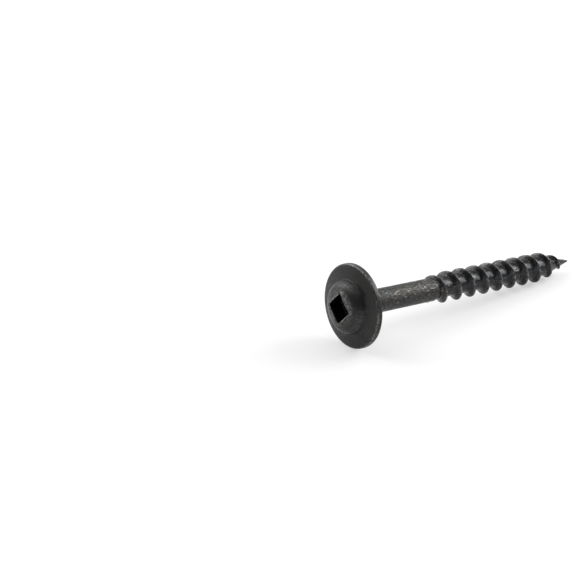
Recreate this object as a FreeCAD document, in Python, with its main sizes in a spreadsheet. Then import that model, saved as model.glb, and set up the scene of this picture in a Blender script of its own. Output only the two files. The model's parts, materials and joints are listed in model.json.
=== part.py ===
import FreeCAD, Part
import math
import os
import Sketcher

# Washer head wood screw, sizes in millimetres and degrees.
# Each piece is drawn in the screw's own frame: the origin is the centre of the
# bearing face under the head, +Z points out of the head, and a depth is a
# distance from that face towards the point. The finished screw is then laid
# down: it rests on its flange and on a thread crest near the point, with the
# point towards +X and the surface that it lies on at Z = 0.

SIZES = {
    # Head
    "head_height": 3.0,
    "flange_radius": 5.7,
    "rim_height": 0.75,
    "flange_slope": 13.0,
    "dome_radius": 3.2,
    "shoulder_round": 1.3,
    "crown_radius": 7.0,
    "foot_round": 1.0,
    "rim_top_bevel": 0.2,
    "rim_under_bevel": 0.12,
    # Square drive recess
    "recess_flat": 3.0,
    "recess_depth": 2.3,
    "recess_draft": 1.5,
    "recess_turn": 46.0,
    "recess_corner": 0.2,
    "recess_lip": 0.1,
    "recess_cone_radius": 1.1,
    "recess_cone_depth": 0.45,
    # Shank, core and point
    "shank_length": 13.4,
    "shank_radius": 1.62,
    "neck_round": 0.3,
    "shank_taper": 0.8,
    "root_radius": 1.43,
    "screw_length": 41.3,
    "point_length": 5.4,
    "tip_radius": 0.12,
    # Thread
    "thread_pitch": 2.65,
    "crest_radius": 2.17,
    "crest_land": 0.1,
    "flank_angle": 60.0,
    "thread_rise": 2.04,
    "thread_turn": 162.0,
    "run_out_length": 3.8,
    "thread_taper": 6.6,
    "taper_fullness": 0.45,
    "thread_end": 0.8,
    "taper_sections": 4,
}

# Shares of the core's radius: where the thread's foot sits inside the core, and
# where its crest ends at both run-outs, once it has sunk below the surface.
FOOT_SHARE = 0.8
SUNK_SHARE = 0.9

# Two places closer together than this are the same place.
SAME_PLACE = 1e-3

# How a sketch counts its points and its own two axes.
START, END, CENTRE = range(1, 4)
ACROSS_AXIS, UP_AXIS = range(-1, -3, -1)
SKETCH_ORIGIN = (ACROSS_AXIS, START)
UPWARD = FreeCAD.Vector(0, 0, 1)
SKETCH_UP = FreeCAD.Vector(0, 1, 0)


def add_sizes(document):
    sheet = document.addObject("Spreadsheet::Sheet", "Sizes")
    for row, (name, value) in enumerate(SIZES.items(), start=1):
        sheet.set(f"A{row}", name)
        sheet.set(f"B{row}", str(value))
        sheet.setAlias(f"B{row}", name)
    document.recompute()
    return sheet


def origin_plane(body, role):
    planes = {feature.Role: feature for feature in body.Origin.OriginFeatures}
    return [(planes[role], "")]


def add_sketch(body, name, role):
    sketch = body.newObject("Sketcher::SketchObject", name)
    sketch.AttachmentSupport = origin_plane(body, role)
    sketch.MapMode = "FlatFace"
    return sketch


def bind(sketch, name, rule, size):
    """Adds a dimension to a sketch and ties it to sizes in the sheet."""
    index = sketch.addConstraint(rule)
    sketch.renameConstraint(index, name)
    sketch.setExpression(f"Constraints.{name}", size)


def place_point(sketch, name, point, across, up):
    """Holds a point of a sketch at sizes from the origin, or on its axes."""
    place = sketch.getPoint(*point)
    directions = (
        ("DistanceX", place.x, across, UP_AXIS),
        ("DistanceY", place.y, up, ACROSS_AXIS),
    )
    for kind, distance, size, axis in directions:
        if size is None:
            sketch.addConstraint(Sketcher.Constraint("PointOnObject", *point, axis))
        elif distance > 0:
            rule = Sketcher.Constraint(kind, *SKETCH_ORIGIN, *point, distance)
            bind(sketch, f"{name}_{kind}", rule, size)
        else:
            rule = Sketcher.Constraint(kind, *point, *SKETCH_ORIGIN, -distance)
            bind(sketch, f"{name}_{kind}", rule, size)


def add_lines(sketch, corners):
    """Draws lines from corner to corner and joins their ends."""
    points = [FreeCAD.Vector(x, y, 0) for x, y in corners]
    lines = []
    for first, second in zip(points, points[1:]):
        lines.append(sketch.addGeometry(Part.LineSegment(first, second)))
    for first, second in zip(lines, lines[1:]):
        sketch.addConstraint(Sketcher.Constraint("Coincident", first, END, second, START))
    return lines


def add_arc(sketch, centre, radius, start, end):
    circle = Part.Circle(FreeCAD.Vector(*centre, 0), UPWARD, radius)
    return sketch.addGeometry(Part.ArcOfCircle(circle, start, end))


def draw_turned_outline(body, size):
    """Half outline of point, core, shank, flange and dome, to turn about Z."""
    sketch = add_sketch(body, "turned_outline", "XZ_Plane")
    sketch.AttachmentOffset = FreeCAD.Placement(FreeCAD.Vector(), FreeCAD.Rotation(SKETCH_UP, 0))
    sketch.setExpression("AttachmentOffset.Rotation.Angle", "Sizes.recess_turn * 1 deg")
    shoulder_across = size["dome_radius"] - size["shoulder_round"]
    reach = size["crown_radius"] - size["shoulder_round"]
    lean = math.asin(shoulder_across / reach)
    crown_up = size["head_height"] - size["crown_radius"]
    shoulder_up = crown_up + reach * math.cos(lean)
    corners = [
        (0, -size["screw_length"]),
        (size["tip_radius"], -size["screw_length"]),
        (size["root_radius"], size["point_length"] - size["screw_length"]),
        (size["root_radius"], -size["shank_length"] - size["shank_taper"]),
        (size["shank_radius"], -size["shank_length"]),
        (size["shank_radius"], 0),
        (size["flange_radius"], 0),
        (size["flange_radius"], size["rim_height"]),
        (size["dome_radius"], shoulder_up),
    ]
    lines = add_lines(sketch, corners)
    tip, cone, core, ramp, shank, bearing, rim, slope = lines
    turn_start = math.pi / 2 - lean
    shoulder_centre = (shoulder_across, shoulder_up)
    shoulder = add_arc(sketch, shoulder_centre, size["shoulder_round"], 0, turn_start)
    crown = add_arc(sketch, (0, crown_up), size["crown_radius"], turn_start, math.pi / 2)
    middle = add_lines(sketch, [(0, size["head_height"]), corners[0]])[0]
    joints = [
        ("Coincident", slope, END, shoulder, START),
        ("Tangent", shoulder, END, crown, START),
        ("Coincident", crown, END, middle, START),
        ("Coincident", middle, END, tip, START),
        ("PointOnObject", crown, CENTRE, UP_AXIS),
    ]
    for joint in joints:
        sketch.addConstraint(Sketcher.Constraint(*joint))

    length = "Sizes.screw_length"
    place_point(sketch, "axis_end", (tip, START), None, length)
    place_point(sketch, "tip", (tip, END), "Sizes.tip_radius", length)
    place_point(sketch, "cone", (cone, END), "Sizes.root_radius", f"{length} - Sizes.point_length")
    core_end = "Sizes.shank_length + Sizes.shank_taper"
    place_point(sketch, "core", (core, END), "Sizes.root_radius", core_end)
    place_point(sketch, "shank", (ramp, END), "Sizes.shank_radius", "Sizes.shank_length")
    place_point(sketch, "neck", (shank, END), "Sizes.shank_radius", None)
    place_point(sketch, "bearing", (bearing, END), "Sizes.flange_radius", None)
    place_point(sketch, "rim", (rim, END), "Sizes.flange_radius", "Sizes.rim_height")
    place_point(sketch, "crown", (crown, END), None, "Sizes.head_height")
    place_across = ("DistanceX", *SKETCH_ORIGIN, shoulder, CENTRE, shoulder_across)
    slope_turn = math.radians(180 - size["flange_slope"])
    dimensions = [
        ("shoulder_across", place_across, "Sizes.dome_radius - Sizes.shoulder_round"),
        ("shoulder_round", ("Radius", shoulder, size["shoulder_round"]), "Sizes.shoulder_round"),
        ("crown_radius", ("Radius", crown, size["crown_radius"]), "Sizes.crown_radius"),
        ("flange_slope", ("Angle", slope, slope_turn), "(180 - Sizes.flange_slope) * 1 deg"),
    ]
    for name, rule, expression in dimensions:
        bind(sketch, name, Sketcher.Constraint(*rule), expression)
    return sketch, (slope, END)


def ring(radius, height):
    """Picks the full circle about the axis with one radius and height."""
    def picked(edge):
        if edge.Degenerated or not isinstance(edge.Curve, Part.Circle):
            return False
        same_height = math.isclose(edge.Curve.Center.z, height, abs_tol=SAME_PLACE)
        return same_height and math.isclose(edge.Curve.Radius, radius, abs_tol=SAME_PLACE)
    return picked


def pick_edges(body, picked):
    """Names those edges of the body so far that the rule picks."""
    numbered = enumerate(body.Tip.Shape.Edges, start=1)
    return body.Tip, [f"Edge{number}" for number, edge in numbered if picked(edge)]


def round_edges(body, name, size, picked):
    base = pick_edges(body, picked)
    fillet = body.newObject("PartDesign::Fillet", name)
    fillet.Base = base
    fillet.setExpression("Radius", size)
    body.Document.recompute()


def bevel_edges(body, name, size, picked):
    base = pick_edges(body, picked)
    chamfer = body.newObject("PartDesign::Chamfer", name)
    chamfer.Base = base
    chamfer.setExpression("Size", size)
    body.Document.recompute()


def add_turned_blank(document, size):
    """The screw as upset and turned: head, shank, core and point, no thread."""
    body = document.addObject("PartDesign::Body", "blank")
    sketch, foot = draw_turned_outline(body, size)
    turned = body.newObject("PartDesign::Revolution", "turned")
    turned.Profile = sketch
    turned.ReferenceAxis = (sketch, ["V_Axis"])
    turned.Angle = 360
    document.recompute()
    foot_place = sketch.getPoint(*foot)
    rim_under = ring(size["flange_radius"], 0)
    rim_top = ring(size["flange_radius"], size["rim_height"])
    round_edges(body, "neck", "Sizes.neck_round", ring(size["shank_radius"], 0))
    bevel_edges(body, "rim_under", "Sizes.rim_under_bevel", rim_under)
    bevel_edges(body, "rim_top", "Sizes.rim_top_bevel", rim_top)
    round_edges(body, "dome_foot", "Sizes.foot_round", ring(foot_place.x, foot_place.y))
    return body


def draw_square(body):
    sketch = add_sketch(body, "recess_square", "XY_Plane")
    sketch.setExpression("AttachmentOffset.Base.z", "Sizes.head_height")
    lines = add_lines(sketch, [(0, 1), (1, 0), (0, -1), (-1, 0), (0, 1)])
    first, second, third, fourth = lines
    rules = [
        ("Coincident", fourth, END, first, START),
        ("Symmetric", first, START, third, START, *SKETCH_ORIGIN),
        ("Symmetric", second, START, fourth, START, *SKETCH_ORIGIN),
        ("Equal", first, second),
        ("Perpendicular", first, second),
    ]
    for rule in rules:
        sketch.addConstraint(Sketcher.Constraint(*rule))
    bind(sketch, "flat", Sketcher.Constraint("Distance", first, math.sqrt(2)), "Sizes.recess_flat")
    turn = Sketcher.Constraint("Angle", first, -math.pi / 4)
    bind(sketch, "turn", turn, "(Sizes.recess_turn - 90) * 1 deg")
    return sketch


def cut_recess(body, size):
    """Drafted square socket with a shallow cone at its floor."""
    document = body.Document
    pocket = body.newObject("PartDesign::Pocket", "recess")
    pocket.Profile = draw_square(body)
    pocket.Type = "Length"
    pocket.setExpression("Length", "Sizes.recess_depth")
    pocket.setExpression("TaperAngle", "-Sizes.recess_draft * 1 deg")
    document.recompute()

    floor = size["head_height"] - size["recess_depth"]
    reach = size["recess_flat"] / math.sqrt(2)

    def wall_corner(edge):
        ends = [vertex.Point for vertex in edge.Vertexes]
        inside = all(math.hypot(end.x, end.y) < reach + SAME_PLACE for end in ends)
        at_floor = math.isclose(edge.BoundBox.ZMin, floor, abs_tol=SAME_PLACE)
        return inside and at_floor and edge.BoundBox.ZLength > SAME_PLACE

    def mouth(edge):
        ends = [vertex.Point for vertex in edge.Vertexes]
        inside = all(math.hypot(end.x, end.y) < reach + SAME_PLACE for end in ends)
        return inside and edge.BoundBox.ZMin > floor + size["recess_depth"] / 2

    round_edges(body, "recess_corners", "Sizes.recess_corner", wall_corner)
    bevel_edges(body, "recess_mouth", "Sizes.recess_lip", mouth)

    cone = body.newObject("PartDesign::SubtractiveCone", "recess_cone")
    cone.AttachmentSupport = origin_plane(body, "XY_Plane")
    cone.MapMode = "FlatFace"
    cone_bottom = "Sizes.head_height - Sizes.recess_depth - Sizes.recess_cone_depth"
    cone.setExpression("AttachmentOffset.Base.z", cone_bottom)
    cone.Radius1 = 0
    cone.setExpression("Radius2", "Sizes.recess_cone_radius")
    cone.setExpression("Height", "Sizes.recess_cone_depth")
    document.recompute()


def core_radius(size, depth):
    """Radius of the turned blank at a depth under the head."""
    ramp_end = size["shank_length"] + size["shank_taper"]
    cone_start = size["screw_length"] - size["point_length"]
    if depth <= size["shank_length"]:
        return size["shank_radius"]
    if depth <= ramp_end:
        share = (depth - size["shank_length"]) / size["shank_taper"]
        return size["shank_radius"] + share * (size["root_radius"] - size["shank_radius"])
    if depth <= cone_start:
        return size["root_radius"]
    share = (depth - cone_start) / size["point_length"]
    return size["root_radius"] + share * (size["tip_radius"] - size["root_radius"])


def thread_start(size):
    """Depth at which the crest, risen out of the shank, reaches its full radius."""
    return size["shank_length"] + size["thread_rise"]


def crest_at(size, depth):
    """Radius of the thread's crest: it rises out of the shank, runs on and tapers."""
    taper_start = size["screw_length"] - size["thread_taper"]
    if thread_start(size) <= depth <= taper_start:
        return size["crest_radius"]
    if depth < taper_start:
        crest_end = thread_start(size) - size["run_out_length"]
        share = (depth - crest_end) / size["run_out_length"]
    else:
        crest_end = size["screw_length"] - size["thread_end"]
        share = (crest_end - depth) / (crest_end - taper_start)
    sunk = SUNK_SHARE * core_radius(size, crest_end)
    fullness = 1 + size["taper_fullness"] * (1 - share)
    return sunk + share * fullness * (size["crest_radius"] - sunk)


def crest_turn(size, depth):
    """Degrees about the axis at which the crest has this depth."""
    return size["thread_turn"] + 360 * (thread_start(size) - depth) / size["thread_pitch"]


def thread_section(size, depth):
    """Cross-section of the thread in the half plane where the crest has this depth."""
    turn = math.radians(crest_turn(size, depth))
    crest = crest_at(size, depth)
    foot = FOOT_SHARE * core_radius(size, depth)
    half_land = size["crest_land"] / 2
    half_foot = half_land + (crest - foot) * math.tan(math.radians(size["flank_angle"] / 2))
    outline = [(foot, -half_foot), (crest, -half_land), (crest, half_land), (foot, half_foot)]
    points = []
    for radius, along in outline + outline[:1]:
        across = FreeCAD.Vector(math.cos(turn), math.sin(turn), 0) * radius
        points.append(across + UPWARD * (along - depth))
    return Part.makePolygon(points)


def thread_stretch(size, upper, lower, steps):
    """One stretch of thread, swept down a helix through its sections."""
    helix = Part.makeHelix(size["thread_pitch"], lower - upper, core_radius(size, lower))
    helix.rotate(FreeCAD.Vector(), UPWARD, crest_turn(size, lower))
    helix.translate(UPWARD * -lower)
    depths = [lower + (upper - lower) * step / steps for step in range(steps + 1)]
    sections = [thread_section(size, depth) for depth in depths]
    return Part.Wire(helix.Edges).makePipeShell(sections, True, True)


def add_thread(document, size):
    """Right-handed thread, from its rise out of the shank to its end at the point."""
    full_start = thread_start(size)
    run_out_end = full_start - size["run_out_length"]
    taper_start = size["screw_length"] - size["thread_taper"]
    thread_stop = size["screw_length"] - size["thread_end"]
    steps = round(size["taper_sections"])
    stretches = [
        ("run_out", run_out_end, full_start, steps),
        ("full_thread", full_start, taper_start, 1),
        ("point_thread", taper_start, thread_stop, steps),
    ]
    features = []
    for name, upper, lower, steps in stretches:
        feature = document.addObject("Part::Feature", name)
        feature.Shape = thread_stretch(size, upper, lower, steps)
        features.append(feature)
    return features


def lay_down(screw, size):
    """Turns the screw about Y until rim and last full crest touch Z = 0."""
    taper_start = size["screw_length"] - size["thread_taper"]
    past_underside = (180 - crest_turn(size, taper_start)) % 360 / 360
    crest_depth = taper_start - past_underside * size["thread_pitch"] + size["crest_land"] / 2
    along = crest_depth + size["rim_under_bevel"]
    tilt = math.atan2(size["flange_radius"] - size["crest_radius"], along)
    lift = size["flange_radius"] * math.cos(tilt) - size["rim_under_bevel"] * math.sin(tilt)
    shift = (size["head_height"] - size["screw_length"]) / 2 * math.cos(tilt)
    turn = FreeCAD.Rotation(FreeCAD.Vector(0, 1, 0), math.degrees(tilt) - 90)
    screw.Placement = FreeCAD.Placement(FreeCAD.Vector(shift, 0, lift), turn)


def check_document(document):
    for item in document.Objects:
        if "Invalid" in item.State or "Error" in item.State:
            raise RuntimeError(f"{item.Label} failed: {item.State}")


def check_piece(piece):
    shape = piece.Shape
    if shape.isNull() or not shape.isValid() or len(shape.Solids) != 1:
        raise RuntimeError(f"{piece.Label} is not one valid solid")


def main():
    document = FreeCAD.newDocument("washer_head_wood_screw")
    sheet = add_sizes(document)
    size = {name: float(sheet.get(name)) for name in SIZES}
    blank = add_turned_blank(document, size)
    cut_recess(blank, size)
    screw = document.addObject("Part::MultiFuse", "screw")
    screw.Shapes = [blank, *add_thread(document, size)]
    screw.Label = "screw"
    document.recompute()
    lay_down(screw, size)
    document.recompute()
    check_document(document)
    check_piece(screw)
    os.makedirs("parts", exist_ok=True)
    screw.Shape.exportStep(f"parts/{screw.Label}.step")


main()
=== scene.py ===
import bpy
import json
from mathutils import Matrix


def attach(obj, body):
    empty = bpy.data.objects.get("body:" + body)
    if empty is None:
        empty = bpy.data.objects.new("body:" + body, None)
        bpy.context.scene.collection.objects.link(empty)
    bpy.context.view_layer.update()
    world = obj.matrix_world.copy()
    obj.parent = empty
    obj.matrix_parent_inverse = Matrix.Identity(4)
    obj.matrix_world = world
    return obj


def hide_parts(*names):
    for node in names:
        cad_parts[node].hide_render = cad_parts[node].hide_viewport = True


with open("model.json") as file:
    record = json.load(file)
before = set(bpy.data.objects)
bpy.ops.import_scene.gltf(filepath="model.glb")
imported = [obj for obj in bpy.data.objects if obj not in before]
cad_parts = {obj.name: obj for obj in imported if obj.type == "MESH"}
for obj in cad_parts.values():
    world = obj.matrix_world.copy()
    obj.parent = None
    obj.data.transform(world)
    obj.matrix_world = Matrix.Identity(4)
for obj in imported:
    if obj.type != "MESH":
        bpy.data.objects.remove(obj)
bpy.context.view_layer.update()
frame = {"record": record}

import bpy
import json
import math
import numpy as np
from mathutils import Euler, Matrix, Vector

# Washer head wood screw. The screw is drawn in its own frame, in millimetres and
# degrees: the origin is the centre of the bearing face under the head, +Z points
# out of the head, a depth is a distance from that face towards the point, and a
# turn of 0 points up where the screw lies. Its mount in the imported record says
# where that frame is in the scene. The surface has the sizes of the solid, but a
# fuller dome with a tight foot, rounded rim edges and a rounded thread root.

MM = 0.001

# Head
HEAD_HEIGHT = 3.0
FLANGE_RADIUS = 5.7
RIM_HEIGHT = 0.75
FLANGE_SLOPE = 13.0
DOME_RADIUS = 3.7
SHOULDER_ROUND = 1.55
CROWN_RADIUS = 7.0
FOOT_ROUND = 0.12
RIM_TOP_EDGE = 0.2
RIM_UNDER_EDGE = 0.12

# Square drive recess
RECESS_FLAT = 3.0
RECESS_DEPTH = 2.3
RECESS_DRAFT = 1.5
RECESS_TURN = 46.0
RECESS_CORNER = 0.2
RECESS_LIP = 0.12
RECESS_CONE_RADIUS = 1.1
RECESS_CONE_DEPTH = 0.45

# Where driver bits have worn the recess's lip back furthest
WORN_LIP = 0.22
WORN_LIP_TURN = 62.0
WORN_LIP_SPREAD = 36.0

# Painted highlight: paler bare steel colour laid on the crown beside the recess, strongest at this turn
# and fading over this many degrees to both sides
PAINTED_HIGHLIGHT = 0.8
PAINTED_HIGHLIGHT_TURN = 325.0
PAINTED_HIGHLIGHT_SPREAD = 85.0

# Faint mark of the heading tool on the flange, a low bead around part of the dome
MARK_RADIUS = 4.05
MARK_WIDTH = 0.15
MARK_HEIGHT = 0.06
MARK_TURN = 326.0
MARK_SPREAD = 28.0

# Shank, core and point
SHANK_LENGTH = 13.4
SHANK_RADIUS = 1.62
NECK_ROUND = 0.3
SHANK_TAPER = 0.8
ROOT_RADIUS = 1.43
SCREW_LENGTH = 41.3
POINT_LENGTH = 5.4
TIP_RADIUS = 0.12
TIP_END_TURN = -80.0

# Thread
THREAD_PITCH = 2.65
CREST_RADIUS = 2.17
CREST_LAND = 0.1
CREST_EDGE = 0.06
FLANK_ANGLE = 60.0
THREAD_RISE = 2.04
THREAD_START = SHANK_LENGTH + THREAD_RISE
THREAD_TURN = 162.0
RUN_OUT_LENGTH = 3.8
THREAD_TAPER = 6.6
TAPER_FULLNESS = 0.45
THREAD_END = 0.8
ROOT_ROUND = 0.42
ROOT_ROUND_SHARE = 0.6
LEAST_RISE = 0.02
LEAST_RADIUS = 0.01
FOOT_DEPTH = 0.12
SUNK_SHARE = 0.9

# Bevel beside the crest, in shares of half its land: its start, its end and how far it drops
BEVEL_START = 0.7
BEVEL_END = 1.3
BEVEL_DROP = 0.7

# How far the finish is worn off, from 0 to 1
WEAR = {
    "recess_lip": 0.9,
    "crown": 0.16,
    "shoulder": 0.04,
    "rim_top": 0.42,
    "rim_under": 0.4,
    "tip": 0.8,
    "crest": 0.6,
    "crest_edge": 0.45,
    "flank": 0.3,
}

# How scuffed the finish is, next to the shank's 1, and how much smoother on the thread
HEAD_SCUFF = 0.12
THREAD_SCUFF = 0.4
THREAD_GLOSS = 0.21
SCUFF_FADE = 1.0
ROLLED_FADE = 2.0

# How finely the surface is drawn: around it, along the thread and along its outline
COLUMNS = 192
SECTIONS_PER_TURN = 72
STEPS = {
    "cone": 4,
    "recess_wall": 8,
    "recess_lip": 6,
    "crown": 8,
    "shoulder": 14,
    "foot": 10,
    "mark": 12,
    "flange": 8,
    "rim_top": 8,
    "rim": 2,
    "rim_under": 6,
    "bearing_face": 10,
    "neck": 6,
    "shank": 24,
    "shank_taper": 3,
    "core": 40,
    "point": 12,
    "tip": 4,
    "flank": 4,
    "root": 5,
}


def shares(steps):
    """Even shares of a stretch, from the end of its first step to 1."""
    return np.linspace(0, 1, steps + 1)[1:]


def arc(centre, radius, start, end, steps):
    """Points (distance from the axis, height) along an arc in a half plane of the axis."""
    turns = np.radians(np.linspace(start, end, steps + 1))
    return [(centre[0] + radius * math.cos(turn), centre[1] + radius * math.sin(turn)) for turn in turns]


def straight(first, second, steps):
    """Points after the first one, up to the second, along a straight line."""
    return [tuple(np.array(first) * (1 - share) + np.array(second) * share) for share in shares(steps)]


def crown_height(radius):
    """Height of the crown at a distance from the axis."""
    return HEAD_HEIGHT - CROWN_RADIUS + np.sqrt(CROWN_RADIUS**2 - radius**2)


def crown_lean():
    """Angle from the axis, in radians, at which the crown passes into the dome's shoulder."""
    return math.asin((DOME_RADIUS - SHOULDER_ROUND) / (CROWN_RADIUS - SHOULDER_ROUND))


def flange_point(radius):
    """Point on the flange's slope at a distance from the axis."""
    return radius, RIM_HEIGHT + (FLANGE_RADIUS - radius) * math.tan(math.radians(FLANGE_SLOPE))


def window(turns, middle, spread):
    """One at a turn about the axis, easing to zero this many degrees to both sides."""
    away = np.abs((turns - middle + 180) % 360 - 180) / spread
    return np.cos(np.minimum(away, 1) * math.pi / 2)**2


def square_reach(half, corner, turns):
    """Distance from the axis to a square with rounded corners, at each turn in degrees."""
    from_flat = np.radians((turns - RECESS_TURN + 45) % 90 - 45)
    on_flat = half / np.cos(from_flat)
    diagonal = (half - corner) * math.sqrt(2)
    from_corner = math.pi / 4 - np.abs(from_flat)
    across = diagonal * np.sin(from_corner)
    on_corner = diagonal * np.cos(from_corner) + np.sqrt(np.maximum(corner**2 - across**2, 0))
    return np.where(half * np.tan(np.abs(from_flat)) <= half - corner, on_flat, on_corner)


def dome_outline():
    """Centres of the dome's shoulder and foot rounds, and the turn at which they meet."""
    lean = crown_lean()
    shoulder_up = HEAD_HEIGHT - CROWN_RADIUS + (CROWN_RADIUS - SHOULDER_ROUND) * math.cos(lean)
    shoulder = np.array((DOME_RADIUS - SHOULDER_ROUND, shoulder_up))
    slope = math.radians(FLANGE_SLOPE)
    outward = np.array((math.cos(slope), -math.sin(slope)))
    off_slope = np.array((math.sin(slope), math.cos(slope)))
    rise = FOOT_ROUND - (shoulder - np.array((FLANGE_RADIUS, RIM_HEIGHT))) @ off_slope
    reach = math.sqrt((SHOULDER_ROUND + FOOT_ROUND)**2 - rise**2)
    foot = shoulder + off_slope * rise + outward * reach
    across, up = foot - shoulder
    return shoulder, foot, math.degrees(math.atan2(up, across))


def turned_outline():
    """Half outline from the dome's shoulder to the tip, as (across, up, wear) points."""
    shoulder, foot, foot_turn = dome_outline()
    points = []

    def add(stretch, wear_and_highlight=0.0, ends=0.0):
        """Adds points whose wear is greatest in the middle of their stretch."""
        for step, point in enumerate(stretch):
            middle = math.sin(math.pi * (step + 0.5) / len(stretch))
            points.append((*point, ends + (wear_and_highlight - ends) * middle))

    def add_line(end, steps):
        """Adds a straight line from the last point."""
        add(straight(points[-1][:2], end, steps))

    shoulder_turn = 90 - math.degrees(crown_lean())
    shoulder_arc = arc(shoulder, SHOULDER_ROUND, shoulder_turn, foot_turn, STEPS["shoulder"])
    add(shoulder_arc, wear_and_highlight=WEAR["shoulder"])
    add(arc(foot, FOOT_ROUND, foot_turn + 180, 270 - FLANGE_SLOPE, STEPS["foot"])[1:])
    add_line(flange_point(MARK_RADIUS - MARK_WIDTH), 1)
    add_line(flange_point(MARK_RADIUS + MARK_WIDTH), STEPS["mark"])

    top_radius = RIM_TOP_EDGE * math.tan(math.radians((90 + FLANGE_SLOPE) / 2))
    top_centre = (FLANGE_RADIUS - top_radius, RIM_HEIGHT - RIM_TOP_EDGE)
    top_arc = arc(top_centre, top_radius, 90 - FLANGE_SLOPE, 0, STEPS["rim_top"])
    add(straight(points[-1][:2], top_arc[0], STEPS["flange"])[:-1])
    add(top_arc, wear_and_highlight=WEAR["rim_top"])

    under_centre = (FLANGE_RADIUS - RIM_UNDER_EDGE, RIM_UNDER_EDGE)
    under_arc = arc(under_centre, RIM_UNDER_EDGE, 0, -90, STEPS["rim_under"])
    add(straight(points[-1][:2], under_arc[0], STEPS["rim"])[:-1])
    add(under_arc, wear_and_highlight=WEAR["rim_under"])

    neck_arc = arc((SHANK_RADIUS + NECK_ROUND, -NECK_ROUND), NECK_ROUND, 90, 180, STEPS["neck"])
    add(straight(points[-1][:2], neck_arc[0], STEPS["bearing_face"])[:-1])
    add(neck_arc)

    cone_end = (TIP_RADIUS, TIP_RADIUS - SCREW_LENGTH)
    add_line((SHANK_RADIUS, -SHANK_LENGTH), STEPS["shank"])
    add_line((ROOT_RADIUS, -SHANK_LENGTH - SHANK_TAPER), STEPS["shank_taper"])
    add_line((ROOT_RADIUS, POINT_LENGTH - SCREW_LENGTH), STEPS["core"])
    add_line(cone_end, STEPS["point"])
    tip_arc = arc((0, cone_end[1]), TIP_RADIUS, 0, TIP_END_TURN, STEPS["tip"])
    add(tip_arc[1:], wear_and_highlight=WEAR["tip"], ends=WEAR["tip"])
    return points


def blank_rows():
    """Rings (radius, height, worn finish and painted highlight) from the recess's floor out over the dome
    and down to the tip.
    """
    turns = RECESS_TURN + np.arange(COLUMNS) * 360 / COLUMNS
    rows = []

    def add(radius, height, wear_and_highlight=0.0):
        ones = np.ones(COLUMNS)
        rows.append((radius * ones, height * ones, wear_and_highlight * ones))

    floor = HEAD_HEIGHT - RECESS_DEPTH
    draft = math.tan(math.radians(RECESS_DRAFT))
    for share in shares(STEPS["cone"]):
        add(RECESS_CONE_RADIUS * share, floor - RECESS_CONE_DEPTH * (1 - share))
    at_floor = square_reach(RECESS_FLAT / 2 - RECESS_DEPTH * draft, RECESS_CORNER, turns)
    add((RECESS_CONE_RADIUS + at_floor) / 2, floor)
    add(at_floor, floor)

    at_mouth = square_reach(RECESS_FLAT / 2, RECESS_CORNER, turns)
    mouth = crown_height(at_mouth)
    lip = RECESS_LIP + mouth - mouth.min() + WORN_LIP * window(turns, WORN_LIP_TURN, WORN_LIP_SPREAD)
    for share in shares(STEPS["recess_wall"]):
        add(at_floor + (at_mouth - at_floor) * share, floor + (mouth - lip - floor) * share)
    outside = at_mouth + lip
    for share in shares(STEPS["recess_lip"]):
        height = mouth - lip * (1 - share)**2 + (crown_height(outside) - mouth) * share**2
        add(at_mouth + lip * share**2, height, WEAR["recess_lip"] * math.sin(math.pi * share))

    crown_edge = CROWN_RADIUS * math.sin(crown_lean())
    # Painted highlight: the crown beside the recess turns paler towards one side, carried in the same
    # value as the worn finish
    painted_highlight = PAINTED_HIGHLIGHT * window(turns, PAINTED_HIGHLIGHT_TURN, PAINTED_HIGHLIGHT_SPREAD)
    for share in shares(STEPS["crown"])[:-1]:
        radius = outside + (crown_edge - outside) * share
        wear_and_highlight = WEAR["shoulder"] * share + (WEAR["crown"] + painted_highlight) * (1 - share)
        add(radius, crown_height(radius), wear_and_highlight)

    for across, up, wear_and_highlight in turned_outline():
        from_mark = min(abs(across - MARK_RADIUS) / MARK_WIDTH, 1)
        bead = MARK_HEIGHT * math.cos(from_mark * math.pi / 2)**2 * window(turns, MARK_TURN, MARK_SPREAD)
        add(across, up + bead * (up > RIM_HEIGHT), wear_and_highlight)
    return turns, rows


def blank_mesh():
    """Vertices, faces, and the worn finish with the painted highlight, of the screw's blank, one closed
    skin.
    """
    turns, rows = blank_rows()
    around = np.radians(turns)
    vertices = []
    wears_and_highlights = []
    for radius, height, wear_and_highlight in rows:
        vertices += list(np.stack([radius * np.cos(around), radius * np.sin(around), height], axis=1))
        wears_and_highlights += list(wear_and_highlight)
    faces = []
    for row in range(len(rows) - 1):
        for column in range(COLUMNS):
            following = (column + 1) % COLUMNS
            above = row * COLUMNS
            below = above + COLUMNS
            faces.append((below + column, below + following, above + following, above + column))
    last = (len(rows) - 1) * COLUMNS
    bottom = len(vertices)
    vertices.append(np.array((0, 0, HEAD_HEIGHT - RECESS_DEPTH - RECESS_CONE_DEPTH)))
    vertices.append(np.array((0, 0, -SCREW_LENGTH)))
    wears_and_highlights += [0.0, WEAR["tip"]]
    for column in range(COLUMNS):
        following = (column + 1) % COLUMNS
        faces.append((bottom, column, following))
        faces.append((bottom + 1, last + following, last + column))
    return vertices, faces, wears_and_highlights


def scuff_at(depth):
    """How scuffed the finish is at a depth: little on the head, most on the plain shank."""
    depths = (0, NECK_ROUND, SHANK_LENGTH - ROLLED_FADE, THREAD_START + SCUFF_FADE)
    return np.interp(depth, depths, (HEAD_SCUFF, 1.0, 1.0, THREAD_SCUFF))


def rolled_at(depth):
    """Zero on the head and the plain shank, one where the thread is rolled."""
    return np.interp(depth, (SHANK_LENGTH - ROLLED_FADE, THREAD_START), (0.0, 1.0))


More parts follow.
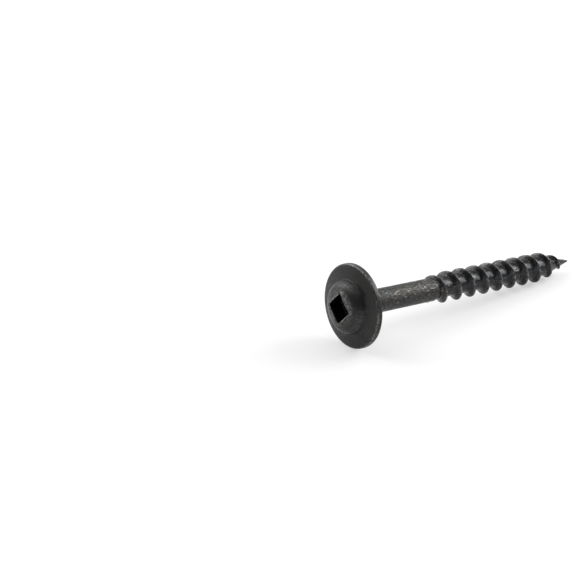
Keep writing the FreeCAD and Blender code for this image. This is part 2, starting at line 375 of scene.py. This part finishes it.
def core_radius(depth):
    """Radius of the turned blank at a depth under the head."""
    depths = (0, SHANK_LENGTH, SHANK_LENGTH + SHANK_TAPER, SCREW_LENGTH - POINT_LENGTH, SCREW_LENGTH)
    radii = (SHANK_RADIUS, SHANK_RADIUS, ROOT_RADIUS, ROOT_RADIUS, TIP_RADIUS)
    return float(np.interp(depth, depths, radii))


def faded_crest(depth, sunk_depth, full_depth):
    """Crest radius where the thread sinks below the core, from the depth at which it is full."""
    sunk = SUNK_SHARE * core_radius(sunk_depth)
    share = (depth - sunk_depth) / (full_depth - sunk_depth)
    return sunk + share * (1 + TAPER_FULLNESS * (1 - share)) * (CREST_RADIUS - sunk)


def crest_at(depth):
    """Radius of the thread's crest: it rises out of the shank, runs on and tapers."""
    taper_start = SCREW_LENGTH - THREAD_TAPER
    if depth < THREAD_START:
        return faded_crest(depth, THREAD_START - RUN_OUT_LENGTH, THREAD_START)
    if depth > taper_start:
        return faded_crest(depth, SCREW_LENGTH - THREAD_END, taper_start)
    return CREST_RADIUS


def half_section(rise):
    """Half of the thread's section, (offset, height above the core, wear), from its crest to its foot."""
    half_angle = math.radians(FLANK_ANGLE / 2)
    root = min(ROOT_ROUND, ROOT_ROUND_SHARE * rise)
    edge = CREST_LAND / 2
    root_offset = edge + (root - (root - rise) * math.sin(half_angle)) / math.cos(half_angle)
    points = [(0, rise, WEAR["crest"]), (edge * BEVEL_START, rise, WEAR["crest"])]
    points.append((edge * BEVEL_END, rise - edge * BEVEL_DROP, WEAR["crest_edge"]))
    flank_top = np.array((edge + CREST_EDGE * math.tan(half_angle), rise - CREST_EDGE))
    touch = np.array((root_offset - root * math.cos(half_angle), root - root * math.sin(half_angle)))
    for share in (0, *shares(STEPS["flank"])):
        place = flank_top * (1 - share) + touch * share
        points.append((*place, WEAR["flank"] * (1 - share)**2))
    for share in shares(STEPS["root"]):
        angle = math.pi + half_angle + share * (math.pi / 2 - half_angle)
        points.append((root_offset + root * math.cos(angle), root + root * math.sin(angle), 0.0))
    return points


def thread_mesh(first):
    """Vertices, faces and wear of the thread: a band whose foot lies inside the core."""
    thread_top = THREAD_START - RUN_OUT_LENGTH
    thread_stop = SCREW_LENGTH - THREAD_END
    count = round((thread_stop - thread_top) / THREAD_PITCH * SECTIONS_PER_TURN)
    vertices = []
    wears_and_highlights = []
    for depth in np.linspace(thread_top, thread_stop, count + 1):
        turn = math.radians(THREAD_TURN) + 2 * math.pi * (THREAD_START - depth) / THREAD_PITCH
        outward = np.array((math.cos(turn), math.sin(turn), 0))
        rise = crest_at(depth) - core_radius(depth)
        half = half_section(max(rise, LEAST_RISE))
        half.append((half[-1][0], -FOOT_DEPTH, 0.0))
        section = [(-offset, height, wear_and_highlight) for offset, height, wear_and_highlight in half[:0:-1]] + half
        for offset, height, wear_and_highlight in section:
            radius = max(core_radius(depth - offset) + height + min(rise, 0), LEAST_RADIUS)
            vertices.append(outward * radius + np.array((0, 0, offset - depth)))
            wears_and_highlights.append(wear_and_highlight)
    size = len(section)
    faces = []
    for step in range(count):
        for point in range(size):
            following = (point + 1) % size
            near = first + step * size
            far = near + size
            faces.append((near + point, near + following, far + following, far + point))
    faces.append(tuple(first + point for point in range(size))[::-1])
    faces.append(tuple(first + count * size + point for point in range(size)))
    return vertices, faces, wears_and_highlights


def new_node(tree, kind, settings=(), links=()):
    """Adds a shader node, sets its values and joins other nodes' outputs to it."""
    node = tree.nodes.new(kind)
    for name, value in dict(settings).items():
        if name in node.inputs.keys():
            node.inputs[name].default_value = value
        else:
            setattr(node, name, value)
    for name, output in dict(links).items():
        tree.links.new(output, node.inputs[name])
    return node


def noise(tree, place, size, detail=4.0, roughness=0.6):
    """Noise whose features are about this size in millimetres."""
    settings = {"Scale": 1 / (size * MM), "Detail": detail, "Roughness": roughness}
    return new_node(tree, "ShaderNodeTexNoise", settings, {"Vector": place}).outputs["Fac"]


def band(tree, value, low, high, bottom=0.0, top=1.0):
    """Turns the part of a value between low and high into bottom to top."""
    settings = {"interpolation_type": "SMOOTHSTEP"}
    node = new_node(tree, "ShaderNodeMapRange", settings, {"Value": value})
    for name, number in (("From Min", low), ("From Max", high), ("To Min", bottom), ("To Max", top)):
        node.inputs[name].default_value = number
    return node.outputs["Result"]


def combined(tree, operation, first, second):
    """Result of an operation on an output and another one, or a plain number."""
    node = new_node(tree, "ShaderNodeMath", {"operation": operation})
    tree.links.new(first, node.inputs[0])
    if isinstance(second, float):
        node.inputs[1].default_value = second
    else:
        tree.links.new(second, node.inputs[1])
    return node.outputs[0]


def times(tree, first, second):
    """Product of an output and another one, or a plain number."""
    return combined(tree, "MULTIPLY", first, second)


def blend(tree, share, first, second):
    """Mixes two colours; each is an output or a plain colour."""
    node = new_node(tree, "ShaderNodeMix", {"data_type": "RGBA"})
    tree.links.new(share, node.inputs["Factor"])
    for name, colour in (("A", first), ("B", second)):
        socket = [item for item in node.inputs if item.name == name and item.type == "RGBA"][0]
        if isinstance(colour, tuple):
            socket.default_value = (*colour, 1)
        else:
            tree.links.new(colour, socket)
    return [item for item in node.outputs if item.type == "RGBA"][0]


# Finish: two tints of each black and grey, and the sizes of its patterns in millimetres
HEAD_BLACK = ((0.035, 0.0355, 0.037), (0.040, 0.039, 0.038))
THREAD_BLACK = (0.027, 0.028, 0.030)
MOTTLE_GREY = ((0.068, 0.068, 0.070), (0.078, 0.074, 0.068))
FLECK_GREY = (0.26, 0.25, 0.24)
BARE_STEEL = (0.30, 0.295, 0.285)
GRAIN_SIZE = 0.35
BLOTCH_SIZE = 1.6
TINT_SIZE = 3.0
STREAK_SIZE = 0.22
STREAK_SQUEEZE = (0.3, 1, 1)
ROUGHNESS = (0.50, 0.32)
RELIEF_DEPTH = 0.2
GRAIN_RELIEF = 0.12
STREAK_RELIEF = (0.06, 0.5)

# Values of the noise between which each pattern goes from none to full
TINT_BAND = (0.4, 0.6)
MOTTLE_BAND = (0.35, 0.7)
STREAK_BAND = (0.56, 0.70)
BLOTCH_BAND = (0.40, 0.60)
WORN_BAND = (0.40, 0.60)
LEAST_WORN = 0.15
ROUGHNESS_BAND = (0.35, 0.65)


def attribute(tree, name):
    """Value that the surface carries at each of its points."""
    return new_node(tree, "ShaderNodeAttribute", {"attribute_name": name}).outputs["Fac"]


def black_steel():
    """Black phosphated and oiled steel, mottled, with the finish worn off its edges."""
    material = bpy.data.materials.new("black_steel")
    material.use_nodes = True
    tree = material.node_tree
    shader = tree.nodes["Principled BSDF"]
    place = new_node(tree, "ShaderNodeTexCoord").outputs["Object"]
    squeeze = new_node(tree, "ShaderNodeMapping", {"Scale": STREAK_SQUEEZE}, {"Vector": place})
    # This value carries the worn finish and also the painted highlight on the crown beside the recess
    wear_and_highlight = attribute(tree, "wear_and_highlight")
    scuff = attribute(tree, "scuff")
    rolled = attribute(tree, "rolled")
    grain = noise(tree, place, GRAIN_SIZE)
    blotch = noise(tree, place, BLOTCH_SIZE, detail=3.0)
    streak = noise(tree, squeeze.outputs["Vector"], STREAK_SIZE, detail=5.0)
    tint = band(tree, noise(tree, place, TINT_SIZE, detail=1.0), *TINT_BAND)

    black = blend(tree, rolled, blend(tree, tint, *HEAD_BLACK), THREAD_BLACK)
    mottle_share = times(tree, band(tree, grain, *MOTTLE_BAND), scuff)
    mottled = blend(tree, mottle_share, black, blend(tree, tint, *MOTTLE_GREY))
    fleck_share = times(tree, band(tree, streak, *STREAK_BAND), band(tree, blotch, *BLOTCH_BAND))
    flecked = blend(tree, times(tree, fleck_share, scuff), mottled, FLECK_GREY)
    # Bare steel where the finish is worn off, and as a painted highlight on the crown beside the recess
    wear_and_highlight_share = times(tree, wear_and_highlight, band(tree, grain, *WORN_BAND, LEAST_WORN, 1.0))
    tree.links.new(blend(tree, wear_and_highlight_share, flecked, BARE_STEEL), shader.inputs["Base Color"])

    shader.inputs["Metallic"].default_value = 1.0
    unrolled_roughness = band(tree, grain, *ROUGHNESS_BAND, *ROUGHNESS)
    roughness = combined(tree, "SUBTRACT", unrolled_roughness, times(tree, rolled, THREAD_GLOSS))
    tree.links.new(roughness, shader.inputs["Roughness"])

    streak_relief = times(tree, streak, band(tree, scuff, HEAD_SCUFF, 1.0, *STREAK_RELIEF))
    relief = combined(tree, "ADD", times(tree, grain, GRAIN_RELIEF), streak_relief)
    settings = {"Strength": 1.0, "Distance": RELIEF_DEPTH * MM}
    bump = new_node(tree, "ShaderNodeBump", settings, {"Height": relief})
    tree.links.new(bump.outputs["Normal"], shader.inputs["Normal"])
    return material


def screw_place():
    """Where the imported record's mount puts the screw's own frame."""
    mounts = {mount["name"]: mount for mount in frame["record"]["mounts"]}
    to_point = Vector(mounts["wood_thread"]["axis"]).normalized()
    upward = (Vector((0, 0, 1)) - to_point * to_point.z).normalized()
    turn = Matrix((upward, -to_point.cross(upward), -to_point)).transposed()
    return Matrix.Translation(mounts["wood_thread"]["pos_m"]) @ turn.to_4x4()


def add_screw():
    """The screw's visible surface, with what the finish needs to know at each point."""
    vertices, faces, wears_and_highlights = blank_mesh()
    more_vertices, more_faces, more_wears_and_highlights = thread_mesh(len(vertices))
    mesh = bpy.data.meshes.new("screw_surface")
    places = np.array(vertices + more_vertices)
    mesh.from_pydata(places * MM, [], faces + more_faces)
    mesh.transform(screw_place())
    depths = -places[:, 2]
    # The worn-finish value also carries the painted highlight on the crown beside the recess
    surface = {"wear_and_highlight": wears_and_highlights + more_wears_and_highlights, "scuff": scuff_at(depths), "rolled": rolled_at(depths)}
    for name, values in surface.items():
        carried = mesh.attributes.new(name, "FLOAT", "POINT")
        carried.data.foreach_set("value", np.array(values, dtype=np.float32))
    mesh.validate()
    mesh.shade_smooth()
    mesh.materials.append(black_steel())
    piece = add_object("screw_surface", mesh)
    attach(piece, "root")
    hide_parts("screw")


# Stage, in metres
FLOOR_SIZE = 6.0
PAPER = (0.9, 0.9, 0.9, 1)
WHITE = (1, 1, 1, 1)

# How much of the floor shows as plain white near the screw and in mirrored rays,
# and from where to where its shade fades out
FLOOR_GLOW = 0.5
MIRRORED_GLOW = 0.25
SHADE_REACH = 0.12
SHADE_END = 0.4

# Studio walls: where the pale one lies, how far it reaches, and how bright they are
PALE_SIDE = (0.25, 0.55, 0.8)
PALE_EDGE = 0.1
PALE_MIDDLE = 0.9
PALE_WALL = 1.1
DARK_WALL = 0.1

# Soft lamps: place, width and height in metres, power in watts
LAMPS = {
    "right_front": ((0.35, -0.14, 0.245), 0.32, 0.32, 1.6),
    "far_left": ((-0.18, 0.31, 0.26), 0.28, 0.42, 1.0),
}

# The photo's camera, in millimetres and degrees
CAMERA_PLACE = (-101.142, -104.692, 65.423)
CAMERA_TURN = (66.862, 1.945, -35.1)
CAMERA_LENS = 69.53
SENSOR_WIDTH = 36.0
NEAREST = 1.0
FARTHEST = 100000.0


def add_object(name, data):
    """Puts a mesh, lamp or camera into the scene."""
    item = bpy.data.objects.new(name, data)
    bpy.context.scene.collection.objects.link(item)
    return item


def plain_white_share(tree, seen):
    """How much shows as plain white: this share to the camera, some in mirrored or refracted rays."""
    path = new_node(tree, "ShaderNodeLightPath")
    total = times(tree, path.outputs["Is Camera Ray"], seen)
    for name in ("Is Glossy Ray", "Is Transmission Ray"):
        total = combined(tree, "MAXIMUM", total, times(tree, path.outputs[name], MIRRORED_GLOW))
    return total


def white_paper():
    """White paper: part of what the camera sees of it is plain white, the rest takes the shadow."""
    material = bpy.data.materials.new("white_paper")
    material.use_nodes = True
    tree = material.node_tree
    tree.nodes.clear()
    paper = new_node(tree, "ShaderNodeBsdfDiffuse", {"Color": PAPER})
    white = new_node(tree, "ShaderNodeEmission", {"Color": WHITE, "Strength": 1.0})
    place = new_node(tree, "ShaderNodeTexCoord").outputs["Object"]
    away = new_node(tree, "ShaderNodeVectorMath", {"operation": "LENGTH"}, {"Vector": place})
    seen = band(tree, away.outputs["Value"], SHADE_REACH, SHADE_END, FLOOR_GLOW, 1.0)
    mixed = new_node(tree, "ShaderNodeMixShader")
    tree.links.new(plain_white_share(tree, seen), mixed.inputs[0])
    tree.links.new(paper.outputs[0], mixed.inputs[1])
    tree.links.new(white.outputs[0], mixed.inputs[2])
    new_node(tree, "ShaderNodeOutputMaterial", {}, {"Surface": mixed.outputs[0]})
    return material


def add_floor():
    """Floor that the screw lies on."""
    half = FLOOR_SIZE / 2
    mesh = bpy.data.meshes.new("floor")
    corners = [(-half, -half, 0), (half, -half, 0), (half, half, 0), (-half, half, 0)]
    mesh.from_pydata(corners, [], [(0, 1, 2, 3)])
    mesh.materials.append(white_paper())
    add_object("floor", mesh)


def add_world():
    """Studio walls: pale on the far side, darker behind the camera, which itself sees plain white."""
    world = bpy.data.worlds.new("studio")
    bpy.context.scene.world = world
    world.use_nodes = True
    tree = world.node_tree
    direction = new_node(tree, "ShaderNodeTexCoord").outputs["Generated"]
    facing = new_node(tree, "ShaderNodeVectorMath", {"operation": "DOT_PRODUCT"})
    tree.links.new(direction, facing.inputs[0])
    facing.inputs[1].default_value = Vector(PALE_SIDE).normalized()
    walls = band(tree, facing.outputs["Value"], PALE_EDGE, PALE_MIDDLE, DARK_WALL, PALE_WALL)
    strength = combined(tree, "MAXIMUM", walls, plain_white_share(tree, 1.0))
    background = tree.nodes["Background"]
    background.inputs["Color"].default_value = WHITE
    tree.links.new(strength, background.inputs["Strength"])


def add_lamp(name, place, width, height, power):
    """Soft lamp that faces the screw."""
    light = bpy.data.lights.new(name, "AREA")
    light.shape = "RECTANGLE"
    light.size = width
    light.size_y = height
    light.energy = power
    lamp = add_object(name, light)
    lamp.location = place
    lamp.rotation_euler = (-Vector(place)).to_track_quat("-Z", "Y").to_euler()


def add_camera():
    """Camera of the photo."""
    data = bpy.data.cameras.new("camera")
    data.lens = CAMERA_LENS
    data.sensor_width = SENSOR_WIDTH
    data.clip_start = NEAREST * MM
    data.clip_end = FARTHEST * MM
    camera = add_object("camera", data)
    camera.location = Vector(CAMERA_PLACE) * MM
    camera.rotation_euler = Euler([math.radians(turn) for turn in CAMERA_TURN])
    bpy.context.scene.camera = camera


add_screw()
add_floor()
add_world()
for name, settings in LAMPS.items():
    add_lamp(name, *settings)
add_camera()
bpy.context.scene.view_settings.view_transform = "Standard"
